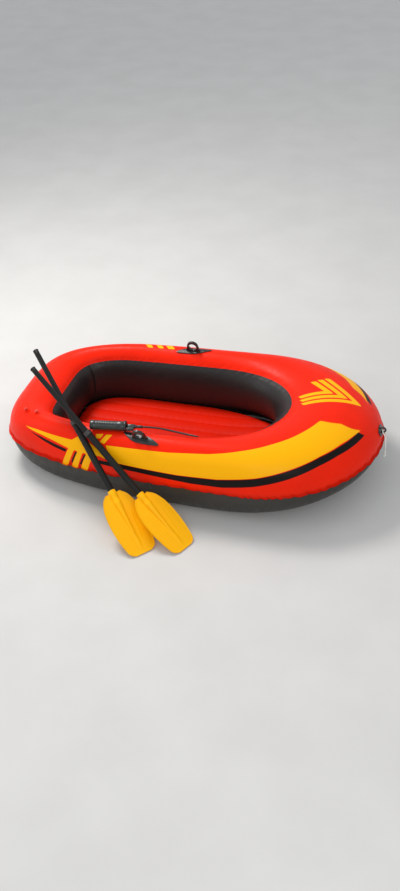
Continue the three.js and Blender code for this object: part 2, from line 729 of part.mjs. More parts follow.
const boat = new THREE.Group();
boat.add(
  mesh("hull_top_skin", hullTopSkin(), PAINT.hull),
  mesh("hull_bottom_skin", hullBottomSkin(), PAINT.bottom),
  mesh("cockpit_wall_skin", cockpitWallSkin(), PAINT.wall),
  mesh("chamber_baffle", chamberBaffle(), PAINT.wall),
  mesh("floor_ribbed_sheet", floorRibbedSheet(), PAINT.floor),
  mesh("bottom_sheet", bottomSheet(), PAINT.bottom),
  mesh("bow_eye", bowEye(), PAINT.fitting),
  ...OARLOCKS.map((place) => mesh(place.name, oarlock(place), PAINT.fitting)),
);
for (const valve of [...HULL_VALVES, FLOOR_VALVE]) {
  const { body, cap } = valve === FLOOR_VALVE ? floorValve() : hullValve(valve);
  boat.add(mesh(`${valve.name}_valve`, body, PAINT.hull), mesh(`${valve.name}_valve_cap`, cap, PAINT.cap));
}
boat.add(
  mesh("bow_rope", cordTube(ROPE_TOP, ROPE_DIAMETER, 8, 24), PAINT.rope),
  mesh("bow_rope_return", cordTube(ROPE_RETURN, ROPE_DIAMETER, 8, 10), PAINT.rope),
  mesh("bow_rope_knot", ropeKnot(), PAINT.rope),
  oar("lower_oar", LOWER_OAR),
  oar("upper_oar", UPPER_OAR),
  pump(),
  mesh("pump_hose", cordTube(HOSE_ROUTE, HOSE_DIAMETER, 8, 24), PAINT.hose),
  mesh("hose_nozzle", hoseNozzle(), PAINT.hose),
);

export default boat;
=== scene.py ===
# The inflatable boat's looks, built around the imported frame. Metres, +X to the bow, +Y to port, +Z up.
import math

import bpy
import numpy as np
from mathutils import Matrix, Vector


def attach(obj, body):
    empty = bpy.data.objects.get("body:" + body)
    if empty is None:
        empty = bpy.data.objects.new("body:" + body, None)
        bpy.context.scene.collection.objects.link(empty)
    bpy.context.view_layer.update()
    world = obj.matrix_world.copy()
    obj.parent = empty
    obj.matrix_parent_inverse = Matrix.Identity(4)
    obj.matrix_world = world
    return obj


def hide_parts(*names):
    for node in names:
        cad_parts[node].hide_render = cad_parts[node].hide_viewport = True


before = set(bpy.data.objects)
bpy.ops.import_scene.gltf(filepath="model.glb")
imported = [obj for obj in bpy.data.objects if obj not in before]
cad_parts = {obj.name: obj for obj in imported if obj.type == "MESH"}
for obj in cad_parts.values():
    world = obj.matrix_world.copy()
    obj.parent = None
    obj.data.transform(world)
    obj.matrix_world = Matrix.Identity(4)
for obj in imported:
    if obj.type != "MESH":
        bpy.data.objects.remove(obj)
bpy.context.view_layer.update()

# ---------------------------------------------------------------- Driving dimensions

MM = 0.001

# The hull's surface: two ovals in plan, each of two half superellipses, and an elliptical section.
LENGTH = 1.85
OUTER = {"middle": 0.390, "half_width": 0.490, "bow": (0.535, 2.09, 1.91), "stern": (1.315, 2.74, 3.67)}
INNER = {"middle": -0.116, "half_width": 0.268, "bow": (0.525, 2.74, 1.91), "stern": (0.514, 4.27, 6.7)}
TUBE_HEIGHT = 0.361
BOW_RISE = {"from": -0.285, "top": 0.068}
BOW_LIFT = {"from": 0.060, "bottom": 0.096, "power": 1.5}
STERN_DROP = {"from": -0.300, "top": 0.049}
STERN_CORNER_TURN = 2.714

# Where the skins meet, as angles round the section: 0 is outboard, 90 the top, 180 inboard.
SEAM_ANGLE = -2
WALL_TOP_ANGLE = 135
WALL_FOOT_ANGLE = 222
FLOOR_EDGE_ANGLE = 212
BOTTOM_EDGE_ANGLE = 251
SEAM_LIP = 0.007

FLOOR_HEIGHT = 0.074
FLOOR_RIDGES = 8
FLOOR_RIDGE_HEIGHT = 0.0055
FLOOR_END_FALL = 0.022
FLOOR_BOW_RISE = {"from": 0.060, "to": 0.448, "height": 0.060}

# Oars, as in the frame: the blade's tip and the handle's end, then places along the oar from the tip.
OAR_LENGTH = 1.105
BLADE_LENGTH = 0.312
OARS = {
    "lower_oar": ((-0.0142, -0.7599, 0.003), (-0.7144, -0.1602, 0.6085)),
    "upper_oar": ((0.1566, -0.6867, 0.003), (-0.6852, -0.2701, 0.5815)),
}
# (distance from the tip, half width), in millimetres.
BLADE_HALF_WIDTHS = [
    (0, 46), (8, 60), (30, 70), (80, 80), (135, 86), (190, 86), (240, 80), (280, 66), (302, 50), (312, 34),
]
LOWER_SHAFT = {"from": 0.262, "to": 0.700, "radius": 0.0156, "wall": 0.0017}
UPPER_SHAFT = {"from": 0.636, "to": 1.098, "radius": 0.0126, "wall": 0.0016}
JOINT_COLLAR = {"from": 0.682, "to": 0.703, "radius": 0.0184}

PUMP = ((-0.370, -0.3828, 0.387), (-0.110, -0.3448, 0.387))
BARREL_RADIUS = 0.0225

ROPE_DIAMETER = 0.005
# Middle lines of the rope's two strands, in millimetres.
ROPE_TOP = [
    (935, -10.8, 259), (932, -10.8, 267.5), (928.4, -10.5, 274.3), (925.2, -9.1, 278.8),
    (922.9, -5.2, 281.9), (922, 0, 283), (922.9, 5.2, 281.9), (925.2, 9.1, 278.8),
    (928.4, 10.5, 274.3), (932, 10.8, 267.5), (935, 10.8, 259), (937.7, 10.8, 246),
    (939.5, 10.6, 230), (940.5, 10, 208), (940.5, 8.6, 186), (940, 6, 168), (939.5, 4.2, 158),
]
ROPE_RETURN = [
    (935.1, -10.8, 258.6), (937.7, -10.8, 246), (939.5, -10.8, 229), (940.5, -10.6, 206),
    (940.5, -9.4, 186), (940, -6.6, 168), (939.5, -4.4, 158),
]
KNOT_CENTRE = (0.9395, 0, 0.142)
HOSE_DIAMETER = 0.009
# The hose's middle line, in millimetres.
HOSE_ROUTE = [
    (-132, -348, 387), (-122, -346.6, 387), (-110, -344.6, 386.8), (-97, -342.2, 386.2),
    (-84, -339.8, 385.2), (-70, -337.4, 383.8), (-54, -335.2, 382), (-36, -333.6, 379.8),
    (-18, -332.8, 377.6), (2, -333, 375.6), (24, -334.2, 374.2), (46, -336.4, 373.4),
    (68, -339.2, 373.4), (90, -342.6, 374), (112, -346.2, 375.2),
]

# ---------------------------------------------------------------- Camera, light and floor

# Fitted to the photograph: azimuth, elevation and roll in degrees, the point looked at, and the lens.
CAMERA_ANGLES = (18.455, 37.827, -3.51)
CAMERA_TARGET = (0.179, -0.464, 0.421)
CAMERA_DISTANCE = 4.164
CAMERA_LENS = 38.35


def add_camera():
    azimuth, elevation, roll = (math.radians(angle) for angle in CAMERA_ANGLES)
    back = Vector((
        math.sin(azimuth) * math.cos(elevation),
        -math.cos(azimuth) * math.cos(elevation),
        math.sin(elevation),
    ))
    level = Vector((math.cos(azimuth), math.sin(azimuth), 0))
    upright = back.cross(level)
    right = level * math.cos(roll) + upright * math.sin(roll)
    up = upright * math.cos(roll) - level * math.sin(roll)
    data = bpy.data.cameras.new("camera")
    data.sensor_width = 36
    data.lens = CAMERA_LENS
    camera = bpy.data.objects.new("camera", data)
    turn = Matrix((right, up, back)).transposed()
    camera.matrix_world = Matrix.Translation(Vector(CAMERA_TARGET) + back * CAMERA_DISTANCE) @ turn.to_4x4()
    bpy.context.scene.collection.objects.link(camera)
    bpy.context.scene.camera = camera


def add_area_light(name, location, aim, size, power, colour=(1, 1, 1)):
    data = bpy.data.lights.new(name, "AREA")
    data.shape = "RECTANGLE"
    data.size, data.size_y = size
    data.energy = power
    data.color = colour
    lamp = bpy.data.objects.new(name, data)
    lamp.location = location
    lamp.rotation_mode = "QUATERNION"
    lamp.rotation_quaternion = (Vector(aim) - Vector(location)).to_track_quat("-Z", "Y")
    bpy.context.scene.collection.objects.link(lamp)


def add_light():
    middle = (0, 0, 0.2)
    add_area_light("key_light", (-1.9, 0.9, 3.4), middle, (1.3, 1.0), 100, (1, 0.98, 0.95))
    add_area_light("front_light", (1.4, -3.4, 2.4), middle, (2.6, 1.6), 30)
    add_area_light("left_light", (-3.4, -1.4, 1.6), middle, (1.6, 1.6), 16)
    bpy.context.scene.view_settings.view_transform = "Standard"
    world = bpy.data.worlds.new("studio")
    world.use_nodes = True
    background = world.node_tree.nodes["Background"]
    background.inputs["Color"].default_value = (0.93, 0.96, 1, 1)
    background.inputs["Strength"].default_value = 0.68
    bpy.context.scene.world = world


# ---------------------------------------------------------------- Materials


class Paint:
    """A principled material and a few helpers that add nodes to it."""

    def __init__(self, name, roughness=0.4, coat=0.0, specular=0.5):
        self.material = bpy.data.materials.new(name)
        self.material.use_nodes = True
        self.tree = self.material.node_tree
        self.shader = self.tree.nodes["Principled BSDF"]
        self.shader.inputs["Roughness"].default_value = roughness
        self.shader.inputs["Coat Weight"].default_value = coat
        self.shader.inputs["Coat Roughness"].default_value = 0.18
        self.shader.inputs["Specular IOR Level"].default_value = specular
        self.place = self.node("ShaderNodeTexCoord").outputs["Object"]

    def node(self, kind, **settings):
        made = self.tree.nodes.new(kind)
        for key, value in settings.items():
            setattr(made, key, value)
        return made

    def link(self, source, target):
        self.tree.links.new(source, target)

    def feed(self, target, value):
        if hasattr(value, "links"):
            self.link(value, target)
        else:
            target.default_value = value

    def noise(self, scale, detail, stretch=(1, 1, 1)):
        mapping = self.node("ShaderNodeMapping")
        mapping.inputs["Scale"].default_value = stretch
        self.link(self.place, mapping.inputs["Vector"])
        texture = self.node("ShaderNodeTexNoise")
        texture.inputs["Scale"].default_value = scale
        texture.inputs["Detail"].default_value = detail
        self.link(mapping.outputs["Vector"], texture.inputs["Vector"])
        return texture.outputs["Fac"]

    def ramp(self, value, low, high, start=0.35, end=0.65):
        scaled = self.node("ShaderNodeMapRange")
        self.link(value, scaled.inputs["Value"])
        scaled.inputs["From Min"].default_value = start
        scaled.inputs["From Max"].default_value = end
        scaled.inputs["To Min"].default_value = low
        scaled.inputs["To Max"].default_value = high
        return scaled.outputs["Result"]

    def mix(self, share, first, second):
        blend = self.node("ShaderNodeMix", data_type="RGBA")
        self.feed(blend.inputs["Factor"], share)
        for socket, colour in ((blend.inputs["A"], first), (blend.inputs["B"], second)):
            self.feed(socket, colour if hasattr(colour, "links") else (*colour, 1))
        return blend.outputs["Result"]

    def attribute(self, name):
        return self.node("ShaderNodeAttribute", attribute_name=name).outputs["Fac"]

    def colour(self, source):
        self.feed(self.shader.inputs["Base Color"], source if hasattr(source, "links") else (*source, 1))

    def roughness(self, source):
        self.link(source, self.shader.inputs["Roughness"])

    def bump(self, height, distance, strength):
        node = self.node("ShaderNodeBump")
        node.inputs["Distance"].default_value = distance
        node.inputs["Strength"].default_value = strength
        self.link(height, node.inputs["Height"])
        if self.shader.inputs["Normal"].links:
            self.link(self.shader.inputs["Normal"].links[0].from_socket, node.inputs["Normal"])
        self.link(node.outputs["Normal"], self.shader.inputs["Normal"])


def tinted(colour, factor):
    return tuple(min(1, part * factor) for part in colour)


RED = (0.88, 0.017, 0.001)
FLOOR_RED = (0.74, 0.012, 0.001)
YELLOW = (1.0, 0.46, 0.001)
PRINT_BLACK = (0.008, 0.006, 0.005)
HULL_GREY = (0.036, 0.033, 0.028)
WALL_BLACK = (0.0145, 0.013, 0.012)
BLADE_YELLOW = (1.0, 0.47, 0.001)
SHAFT_BLACK = (0.007, 0.007, 0.006)
FILM_SPECULAR = 0.09
FITTING_BLACK = (0.009, 0.010, 0.010)
PUMP_BLACK = (0.013, 0.020, 0.016)
RING_GREY = (0.022, 0.021, 0.019)
HOSE_BROWN = (0.022, 0.010, 0.009)
CAP_RED = (0.55, 0.016, 0.003)
ROPE_SHADE = (0.78, 0.76, 0.70)
ROPE_WHITE = (0.92, 0.90, 0.86)
STUDIO_DARK = (0.62, 0.61, 0.59)
STUDIO_PALE = (0.65, 0.64, 0.62)


def film(name, colour, roughness, coat=0.03, specular=FILM_SPECULAR):
    """Soft welded film: faint grain, uneven gloss, and a slow shift of colour."""
    paint = Paint(name, roughness, coat, specular)
    shift = paint.ramp(paint.noise(5, 4), 0, 1)
    toned = paint.mix(shift, tinted(colour, 0.93), tinted(colour, 1.05))
    paint.roughness(paint.ramp(paint.noise(38, 4), roughness - 0.05, roughness + 0.08))
    paint.bump(paint.noise(900, 2), 0.00012, 0.35)
    paint.bump(paint.noise(26, 3), 0.0012, 0.35)
    return paint, toned


def printed_film():
    """The top film, with its printed yellow and black areas kept as signed distances on the mesh; the black
    includes painted shadows between the legs, and the red is darkened towards the seam with painted shade.
    """
    paint, red = film("hull_film", RED, 0.42)
    edge = 0.0006
    yellow = paint.ramp(paint.attribute("yellow_print"), 1, 0, -edge, edge)
    black = paint.ramp(paint.attribute("black_print_and_shadow"), 1, 0, -edge, edge)
    # Painted shade: the red darkens towards the seam, where the tube turns under.
    painted_seam_shade = paint.ramp(paint.attribute("seam_distance"), 0.55, 0, 0.0, 0.022)
    with_painted_seam_shade = paint.mix(painted_seam_shade, red, tinted(RED, 0.45))
    with_yellow = paint.mix(yellow, with_painted_seam_shade, YELLOW)
    paint.colour(paint.mix(black, with_yellow, PRINT_BLACK))
    return paint.material


def plain_film(name, colour, roughness, coat=0.03, specular=FILM_SPECULAR):
    paint, toned = film(name, colour, roughness, coat, specular)
    paint.colour(toned)
    return paint.material


def moulded(name, colour, roughness, coat=0.1, scuffs=0.5, specular=0.5):
    """Moulded plastic or rubber: fine grain, rubbed lighter in patches."""
    paint = Paint(name, roughness, coat, specular)
    worn = paint.ramp(paint.noise(22, 6, (1, 1, 1.6)), 0, scuffs, 0.52, 0.75)
    paint.colour(paint.mix(worn, colour, tinted(colour, 1.6)))
    paint.roughness(paint.ramp(paint.noise(60, 5), roughness - 0.06, roughness + 0.12))
    paint.bump(paint.noise(420, 2), 0.0001, 0.5)
    return paint.material


def rope_fibre():
    paint = Paint("rope_fibre", 0.85, 0)
    paint.shader.inputs["Sheen Weight"].default_value = 0.35
    strands = paint.noise(650, 4, (1, 1, 0.35))
    paint.colour(paint.mix(paint.ramp(strands, 0, 1), ROPE_SHADE, ROPE_WHITE))
    paint.bump(strands, 0.0004, 0.7)
    return paint.material


def floor_paint():
    paint = Paint("studio_floor", 0.75, 0, 0.2)
    shift = paint.ramp(paint.noise(3, 4), 0, 1)
    paint.colour(paint.mix(shift, STUDIO_DARK, STUDIO_PALE))
    return paint.material


# ---------------------------------------------------------------- The hull's surface


def signed_power(value, power):
    return np.sign(value) * np.abs(value) ** power


def oval(shape, turn):
    """Points of an oval in plan at each turn: 0 is the bow, and a quarter turn is the port side."""
    along, across = np.cos(turn), np.sin(turn)
    ends = [np.where(along >= 0, bow, stern) for bow, stern in zip(shape["bow"], shape["stern"])]
    reach, lengthwise, crosswise = ends
    x = shape["middle"] + reach * signed_power(along, 2 / lengthwise)
    y = shape["half_width"] * signed_power(across, 2 / crosswise)
    return x, y


def share(value, start, end):
    return np.clip((value - start) / (end - start), 0, 1)


def tube_top(x):
    rise = BOW_RISE["top"] * share(x, BOW_RISE["from"], LENGTH / 2) ** 2
    drop = STERN_DROP["top"] * share(x, STERN_DROP["from"], -LENGTH / 2) ** 2
    return TUBE_HEIGHT + rise - drop


def tube_bottom(x):
    return BOW_LIFT["bottom"] * share(x, BOW_LIFT["from"], LENGTH / 2) ** BOW_LIFT["power"]


def section(turn):
    """The section's centre at each turn, and its half size outboard (x, y) and up (z)."""
    outer_x, outer_y = oval(OUTER, turn)
    inner_x, inner_y = oval(INNER, turn)
    x = (outer_x + inner_x) / 2
    top, bottom = tube_top(x), tube_bottom(x)
    centre = np.stack([x, (outer_y + inner_y) / 2, (top + bottom) / 2], -1)
    reach = np.stack([(outer_x - inner_x) / 2, (outer_y - inner_y) / 2, (top - bottom) / 2], -1)
    return centre, reach


def hull_points(turn, degrees, inset=0.0):
    """Points of the hull's surface, or of a surface that lies "inset" under it."""
    centre, reach = section(turn)
    angle = np.radians(degrees)
    across = np.hypot(reach[..., 0], reach[..., 1])
    flat = (1 - inset / across) * np.cos(angle)
    x = centre[..., 0] + reach[..., 0] * flat
    y = centre[..., 1] + reach[..., 1] * flat
    z = centre[..., 2] + (reach[..., 2] - inset) * np.sin(angle)
    return np.stack([x, y, z], -1)


def even_turns(count):
    """Turns that lie evenly along the tube's middle line, and their distances along it."""
    u = np.linspace(0, 1, 2001)[:-1]
    eased = u ** 4 / (u ** 4 + (1 - u) ** 4)
    samples = np.append(((np.arange(4)[:, None] + eased[None]) * (math.pi / 2)).ravel(), 2 * math.pi)
    centre = section(samples)[0][:, :2]
    lengths = np.append(0, np.cumsum(np.linalg.norm(np.diff(centre, axis=0), axis=1)))
    wanted = lengths[-1] * np.arange(count) / count
    return np.interp(wanted, lengths, samples), wanted, lengths[-1]


# ---------------------------------------------------------------- Mesh helpers


def new_piece(name, points, faces, material, body, nodes):
    mesh = bpy.data.meshes.new(name)
    mesh.from_pydata([tuple(map(float, p)) for p in points], [], faces)
    mesh.validate()
    mesh.shade_smooth()
    piece = bpy.data.objects.new(name, mesh)
    bpy.context.scene.collection.objects.link(piece)
    mesh.materials.append(material)
    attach(piece, body)
    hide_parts(*nodes)
    return piece


def grid_faces(rows, columns, closed_rows=False, closed_columns=False, start=0):
    """Faces of a grid of rows x columns points. Closed means that the last one joins the first."""
    faces = []
    for r in range(rows if closed_rows else rows - 1):
        for c in range(columns if closed_columns else columns - 1):
            here, there = r * columns, ((r + 1) % rows) * columns
            after = (c + 1) % columns
            faces.append((start + here + c, start + there + c, start + there + after, start + here + after))
    return faces


def frame_matrix(origin, x_axis, y_axis, z_axis):
    turn = Matrix((x_axis, y_axis, z_axis)).transposed().to_4x4()
    return Matrix.Translation(origin) @ turn


def turned(profile, sides):
    """A body turned round Z from (radius, z) points. It is closed if they make a loop or end at radius 0."""
    angles = [2 * math.pi * k / sides for k in range(sides)]
    points = [(r * math.cos(a), r * math.sin(a), z) for r, z in profile for a in angles]
    return points, grid_faces(len(profile), sides, closed_columns=True)


def moved(points, matrix):
    return [matrix @ Vector(p) for p in points]


def merged(*parts):
    points, faces = [], []
    for part_points, part_faces in parts:
        start = len(points)
        points += list(part_points)
        faces += [tuple(start + i for i in face) for face in part_faces]
    return points, faces


def smooth_route(points, step):
    """A centripetal Catmull-Rom curve through points, sampled evenly."""
    p = [Vector(q) * MM for q in points]
    p = [2 * p[0] - p[1], *p, 2 * p[-1] - p[-2]]
    line = []
    steps = 24
    for a, b, c, d in zip(p, p[1:], p[2:], p[3:]):
        knots = [0]
        for first, second in ((a, b), (b, c), (c, d)):
            knots.append(knots[-1] + math.sqrt((second - first).length))
        t0, t1, t2, t3 = knots
        for k in range(steps):
            t = t1 + (t2 - t1) * k / steps
            a1 = a * ((t1 - t) / (t1 - t0)) + b * ((t - t0) / (t1 - t0))
            a2 = b * ((t2 - t) / (t2 - t1)) + c * ((t - t1) / (t2 - t1))
            a3 = c * ((t3 - t) / (t3 - t2)) + d * ((t - t2) / (t3 - t2))
            b1 = a1 * ((t2 - t) / (t2 - t0)) + a2 * ((t - t0) / (t2 - t0))
            b2 = a2 * ((t3 - t) / (t3 - t1)) + a3 * ((t - t1) / (t3 - t1))
            line.append(b1 * ((t2 - t) / (t2 - t1)) + b2 * ((t - t1) / (t2 - t1)))
    line.append(p[-2])
    line = np.array(line)
    lengths = np.append(0, np.cumsum(np.linalg.norm(np.diff(line, axis=0), axis=1)))
    wanted = np.linspace(0, lengths[-1], max(2, int(lengths[-1] / step)) + 1)
    return np.stack([np.interp(wanted, lengths, line[:, k]) for k in range(3)], -1), lengths[-1]


def swept(route, radius_at, sides):
    """A capped tube along a route: radius_at(distance, angle) gives its surface."""
    route = [Vector(p) for p in route]
    rings = []
    side = None
    distance = 0
    for i, here in enumerate(route):
        ahead = route[min(i + 1, len(route) - 1)] - route[max(i - 1, 0)]
        ahead.normalize()
        if side is None:
            side = ahead.orthogonal()
        side = (side - ahead * side.dot(ahead)).normalized()
        other = ahead.cross(side)
        if i:
            distance += (here - route[i - 1]).length
        for k in range(sides):
            angle = 2 * math.pi * k / sides
            radius = radius_at(distance, angle)
            rings.append(here + (side * math.cos(angle) + other * math.sin(angle)) * radius)
    faces = grid_faces(len(route), sides, closed_columns=True)
    faces.append(tuple(range(sides)))
    faces.append(tuple(reversed(range(len(rings) - sides, len(rings)))))
    return rings, faces


# ---------------------------------------------------------------- Cords


def laid_rope(radius):
    """Three strands laid round each other."""
    pitch = 0.022

    def radius_at(distance, angle):
        return radius * (0.94 + 0.11 * math.cos(3 * (angle - 2 * math.pi * distance / pitch)))

    return radius_at


def add_cords(rope, hose_rubber):
    knot = add_knot(rope)
    for name, line in (("bow_rope", ROPE_TOP), ("bow_rope_return", ROPE_RETURN)):
        route, length = smooth_route(line, 0.0016)
        points, faces = swept(route, laid_rope(ROPE_DIAMETER / 2), 18)
        piece = new_piece(f"{name}_laid", points, faces, rope, "hull", [name])
    route, length = smooth_route(HOSE_ROUTE, 0.003)
    hose = new_piece(
        "pump_hose_soft", *swept(route, lambda distance, angle: HOSE_DIAMETER / 2, 20), hose_rubber,
        "pump_plunger", ["pump_hose"],
    )
    nozzle = add_nozzle(route, hose_rubber)


def add_nozzle(route, material):
    along = Vector(route[-1] - route[-2]).normalized()
    millimetres = [
        (0, 0), (3.8, 0), (4.4, 0.8), (4.4, 4.5), (3.7, 5.2), (4.3, 6), (3.6, 10),
        (2.9, 18), (2.3, 25), (1.9, 26), (1.3, 25.6), (1.2, 22), (0, 22),
    ]
    turn = along.to_track_quat("Z", "Y").to_matrix().to_4x4()
    matrix = Matrix.Translation(Vector(route[-1]) + along * 0.0003) @ turn
    points, faces = turned([(r * MM, z * MM) for r, z in millimetres], 28)
    return new_piece("hose_tip", moved(points, matrix), faces, material, "pump_plunger", ["hose_nozzle"])


def add_knot(rope):
    """An overhand knot: a trefoil of rope, with two tails."""
    trefoil = []
    for i in range(61):
        t = 2 * math.pi * i / 60
        x = math.sin(t) + 2 * math.sin(2 * t)
        y = math.cos(t) - 2 * math.cos(2 * t)
        trefoil.append((x * 2.4, -math.sin(3 * t) * 3.4, y * 2.6))
    tails = [
        [(0, 1, -2), (0, 4, -11), (0.5, 8, -18), (0, 13.5, -20.5), (-0.5, 17.5, -17)],
        [(0, 2, 0), (1, 9, 0.5), (2, 15, 3.5), (3, 20.5, 9)],
    ]
    radius_at = laid_rope(ROPE_DIAMETER / 2)
    parts = [swept(smooth_route(line, 0.0012)[0], radius_at, 14) for line in (trefoil, *tails)]
    points, faces = merged(*parts)
    centre = Matrix.Translation(KNOT_CENTRE)
    return new_piece("rope_knot_tied", moved(points, centre), faces, rope, "hull", ["bow_rope_knot"])


# ---------------------------------------------------------------- Skins

STATIONS = 900
TURNS, ALONG, AROUND = even_turns(STATIONS)
RNG = np.random.default_rng(7)


def loop_noise(count, smoothing):
    """Smooth seeded noise round the loop, from -1 to 1, with about "count" swells."""
    knots = RNG.uniform(-1, 1, count)
    grid = np.arange(-smoothing, count + smoothing)
    return np.interp(np.arange(STATIONS) * count / STATIONS, grid, knots[grid % count])


def puckers(pitch, uneven):
    """Sharp little pulls across a weld, uneven in size and place, from 0 to 1, at every station."""
    drift = np.cumsum(1 + 0.45 * loop_noise(90, 4)) / STATIONS
    drift = drift / drift[-1] * round(AROUND / pitch)
    wave = np.abs(np.sin(math.pi * drift)) ** 0.6
    return wave * (1 - uneven * (0.5 + 0.5 * loop_noise(150, 3)))


SEAM_PUCKERS = puckers(0.048, 0.45)
WALL_PUCKERS = puckers(0.042, 0.8)
FOOT_PUCKERS = puckers(0.036, 0.7)
SWELLS = loop_noise(38, 4)
SEAM_SWAY = loop_noise(46, 4)
# The welded seam dips between its puckers, so its edge is scalloped.
SEAM_SCALLOP = 0.0016 * SEAM_SWAY - 0.0085 * (SEAM_PUCKERS - 0.6)


def near(angle, line, width):
    return np.exp(-(((angle - line) / width) ** 2))


def hull_inset(angle, kind):
    """How far the film is pulled under the ideal surface, in metres, for each station and angle."""
    pull = 0.0008 * (1 + SWELLS[:, None]) * np.ones_like(angle)[None, :]
    if kind != "wall":
        pull = pull + near(angle, SEAM_ANGLE, 9)[None] * (0.0060 * (1 - SEAM_PUCKERS))[:, None]
    if kind != "bottom":
        pull = pull + near(angle, WALL_TOP_ANGLE, 7)[None] * (0.0016 + 0.003 * (1 - WALL_PUCKERS))[:, None]
    if kind != "top":
        pull = pull + near(angle, WALL_FOOT_ANGLE, 9)[None] * (0.001 + 0.0042 * (1 - FOOT_PUCKERS))[:, None]
    return pull


def corner_creases(angle):
    """Long creases across the cockpit wall at the two stern corners, where the film turns sharply."""
    crease = np.zeros((STATIONS, len(angle)))
    corners = [(STERN_CORNER_TURN, 1.0), (2 * math.pi - STERN_CORNER_TURN, 0.9)]
    for turn, strength in corners:
        at = np.interp(turn, TURNS, ALONG)
        lean = (angle - 180)[None] * 0.00035
        offset = ALONG[:, None] - at - lean
        fade = near(angle, 170, 42)[None]
        fold = 0.0105 * near(offset, 0, 0.0085)
        rise = 0.002 * near(offset, 0, 0.03)
        crease += strength * fade * (fold - rise)
    return crease


def skin_grid(angle, inset):
    points = hull_points(TURNS[:, None], angle[None, :], inset)
    points[..., 2] += near(angle, SEAM_ANGLE, 6)[None] * SEAM_SCALLOP[:, None]
    return points


def add_hull_top(material):
    by_seam, over_top = np.linspace(SEAM_ANGLE, 20, 24), np.linspace(21, 120, 60)
    angle = np.concatenate([by_seam, over_top, np.linspace(121.2, WALL_TOP_ANGLE, 14)])
    inset = hull_inset(angle, "top")
    points = skin_grid(angle, inset)
    lip = SEAM_LIP * (0.72 + 0.45 * SEAM_PUCKERS + 0.15 * SEAM_SWAY)
    edge = [hull_points(TURNS, SEAM_ANGLE + 0.35, -lip), hull_points(TURNS, SEAM_ANGLE + 0.1, -lip * 0.4)]
    for row in edge:
        row[:, 2] += SEAM_SCALLOP
    points = np.concatenate([np.stack(edge, 1), points], 1)
    faces = grid_faces(STATIONS, points.shape[1], closed_rows=True)
    piece = new_piece("hull_film_top", points.reshape(-1, 3), faces, material, "hull", ["hull_top_skin"])
    degrees = np.concatenate([[SEAM_ANGLE, SEAM_ANGLE], angle])
    print_film(piece, points, degrees)


def add_hull_bottom(material):
    low = WALL_FOOT_ANGLE - 360
    angle = np.concatenate([np.linspace(low, -28, 52), np.linspace(-26.6, SEAM_ANGLE, 20)])
    inset = hull_inset(angle, "bottom")
    points = skin_grid(angle, inset)
    lip = SEAM_LIP * (0.80 + 0.45 * SEAM_PUCKERS + 0.15 * SEAM_SWAY)
    edge = [hull_points(TURNS, SEAM_ANGLE - 0.2, -lip * 0.4), hull_points(TURNS, SEAM_ANGLE - 0.2, -lip)]
    edge.append(hull_points(TURNS, SEAM_ANGLE + 0.15, -lip))
    for row in edge:
        row[:, 2] += SEAM_SCALLOP
    points = np.concatenate([points, np.stack(edge, 1)], 1)
    faces = grid_faces(STATIONS, points.shape[1], closed_rows=True)
    new_piece("hull_film_bottom", points.reshape(-1, 3), faces, material, "hull", ["hull_bottom_skin"])


def add_cockpit_wall(material):
    angle = np.linspace(WALL_TOP_ANGLE, WALL_FOOT_ANGLE, 64)
    inset = hull_inset(angle, "wall") + corner_creases(angle)
    points = skin_grid(angle, inset).reshape(-1, 3)
    faces = grid_faces(STATIONS, len(angle), closed_rows=True)
    new_piece("cockpit_wall_film", points, faces, material, "hull", ["cockpit_wall_skin"])


# ---------------------------------------------------------------- Printed areas and painted shadows

# Outlines as (x, angle round the section). The port side has the same print, narrower from the
# seam up, and three more strokes.
BAND_TOP = [
    (-0.289, 50), (-0.214, 52), (0.018, 57), (0.203, 64), (0.342, 74), (0.473, 81), (0.595, 85), (0.650, 86),
]
BAND_END = [(0.695, 76.5), (0.745, 66.5), (0.795, 54), (0.835, 44.5)]
BAND_BOTTOM = [
    (0.811, 46.8), (0.765, 48.5), (0.688, 46.8), (0.564, 39.5), (0.431, 31.2), (0.251, 23), (0.064, 20.5),
    (-0.230, 22), (-0.268, 34),
]
STRIP_TOP = [
    (-0.359, 20.5), (-0.230, 21.5), (0.064, 19.8), (0.251, 22.2), (0.431, 30.3), (0.564, 38.4), (0.688, 45.8),
    (0.760, 47), (0.824, 46),
]
STRIP_BOTTOM = [
    (0.853, 37.5), (0.760, 38), (0.690, 35.5), (0.576, 27.5), (0.418, 17.5), (0.277, 10.5), (0.130, 9.5),
    (-0.123, 13), (-0.360, 14.5),
]
SLIVER = [
    (-0.742, 43), (-0.662, 46), (-0.466, 46), (-0.434, 56), (-0.380, 50), (-0.352, 44), (-0.300, 33),
    (-0.281, 24), (-0.320, 28), (-0.355, 26), (-0.451, 28), (-0.486, 29), (-0.563, 35), (-0.637, 39),
    (-0.716, 41),
]
LEGS = [
    [(-0.482, 30), (-0.451, 30), (-0.494, -2), (-0.527, -2)],
    [(-0.431, 30), (-0.404, 30), (-0.442, -2), (-0.474, -2)],
    [(-0.384, 30), (-0.350, 28), (-0.388, -2), (-0.424, -2)],
]
STROKES = [
    [(-0.346, 70), (-0.308, 74), (-0.319, 62), (-0.340, 60)],
    [(-0.293, 74), (-0.263, 76), (-0.296, 52), (-0.320, 54)],
]
PORT_STROKES = [
    [(-0.345, 98), (-0.316, 98), (-0.340, 80), (-0.369, 80)],
    [(-0.288, 98), (-0.259, 98), (-0.283, 80), (-0.312, 80)],
    [(-0.236, 98), (-0.200, 98), (-0.224, 80), (-0.260, 80)],
]
